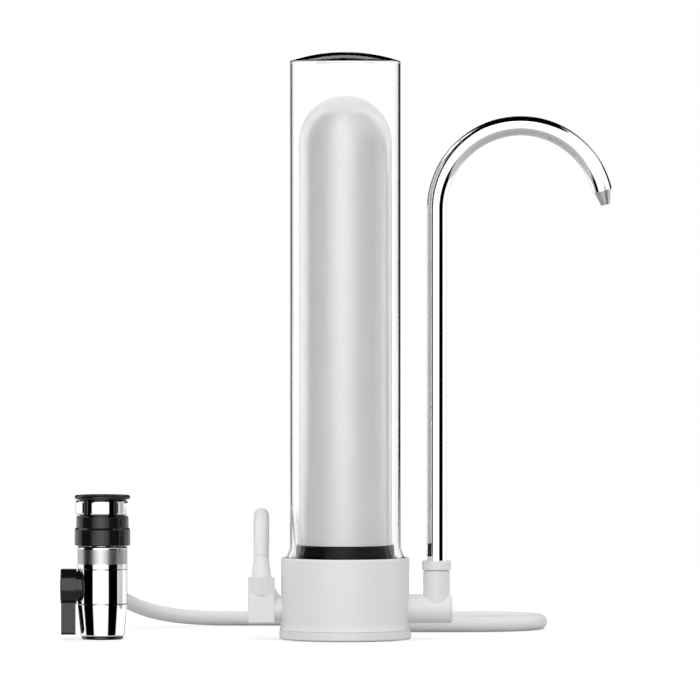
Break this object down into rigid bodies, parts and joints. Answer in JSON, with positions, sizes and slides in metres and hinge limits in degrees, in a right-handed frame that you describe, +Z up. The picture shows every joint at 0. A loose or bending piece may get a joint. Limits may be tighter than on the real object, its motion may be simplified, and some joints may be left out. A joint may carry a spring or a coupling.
{
  "type": "countertop_water_filter",
  "caption": "Countertop water filter: clear domed canister with a white cartridge on a white base, chrome gooseneck spout, and a hose from a chrome and black tap diverter with a lever.",
  "frame": {"origin": "on the canister's axis, at the centre of the base's underside, on the counter", "axes": "+Z is up along the canister's axis, +X points from the canister to the spout, +Y points away from the viewer"},
  "size_m": [0.3088, 0.1947, 0.3288],
  "materials": {
    "white_plastic": "moulded, semi-gloss",
    "black_plastic": "moulded, semi-gloss",
    "clear_plastic": "clear, polished",
    "ceramic": "unglazed, smooth",
    "carbon": "pressed block, rough",
    "chrome": "polished plating",
    "satin_steel": "satin",
    "turned_brass": "turned",
    "screw_steel": "zinc plated",
    "seal_rubber": "moulded, matte",
    "hose_plastic": "extruded, smooth"
  },
  "bodies": {
    "base": {"base_shell": "white_plastic", "base_manifold": "white_plastic", "base_plate": "white_plastic", "base_pad": "seal_rubber", "base_screws": "screw_steel", "inlet_elbow": "white_plastic", "inlet_seal": "seal_rubber", "inlet_nut": "white_plastic", "inlet_ferrule": "turned_brass", "inlet_boot": "white_plastic", "outlet_elbow": "white_plastic", "outlet_seal": "seal_rubber", "outlet_plug": "white_plastic", "spout_collar": "white_plastic", "cartridge_gasket": "seal_rubber", "aerator_insert": "black_plastic", "aerator_screen": "satin_steel", "outlet_sleeve": "chrome", "valve_body": "chrome", "inlet_sleeve": "chrome", "swivel_tail": "chrome", "swivel_washer": "seal_rubber", "tap_adapter": "chrome", "tap_washer": "seal_rubber", "tap_flange": "black_plastic", "valve_bonnet": "black_plastic", "bonnet_seal": "seal_rubber", "hose_nut": "white_plastic", "hose_ferrule": "turned_brass", "hose_boot": "white_plastic", "hose": "hose_plastic"},
    "housing_seal": {"housing_seal": "seal_rubber"},
    "housing": {"housing": "clear_plastic"},
    "cartridge": {"cartridge_end_cap": "black_plastic", "cartridge_seal": "seal_rubber", "cartridge_shell": "ceramic", "cartridge_core": "carbon"},
    "spout": {"spout_tail": "turned_brass", "spout_seals": "seal_rubber", "spout_tube": "chrome", "spout_nozzle": "satin_steel"},
    "lever": {"valve_plug": "chrome", "plug_seals": "seal_rubber", "valve_lever": "black_plastic", "lever_screw": "screw_steel"},
    "collar": {"union_collar": "black_plastic"}
  },
  "joints": [
    {"name": "housing_lift", "type": "slide", "parent": "base", "child": "housing_seal", "axis": [0, 0, 1], "range_m": [0, 0.28]},
    {"name": "housing_turn", "type": "hinge", "parent": "housing_seal", "child": "housing", "pos_m": [0, 0, 0.03], "axis": [0, 0, 1], "range_deg": [0, 720]},
    {"name": "cartridge_turn", "type": "hinge", "parent": "base", "child": "cartridge", "pos_m": [0, 0, 0.03], "axis": [0, 0, 1], "range_deg": [0, 720]},
    {"name": "spout_swivel", "type": "hinge", "parent": "base", "child": "spout", "pos_m": [0.0512, 0, 0.038], "axis": [0, 0, 1], "range_deg": [-120, 120]},
    {"name": "lever_turn", "type": "hinge", "parent": "base", "child": "lever", "pos_m": [-0.136, 0, 0.02955], "axis": [1, 0, 0], "range_deg": [-90, 0]},
    {"name": "collar_turn", "type": "hinge", "parent": "base", "child": "collar", "pos_m": [-0.136, 0, 0.06], "axis": [0, 0, 1], "continuous": true}
  ]
}
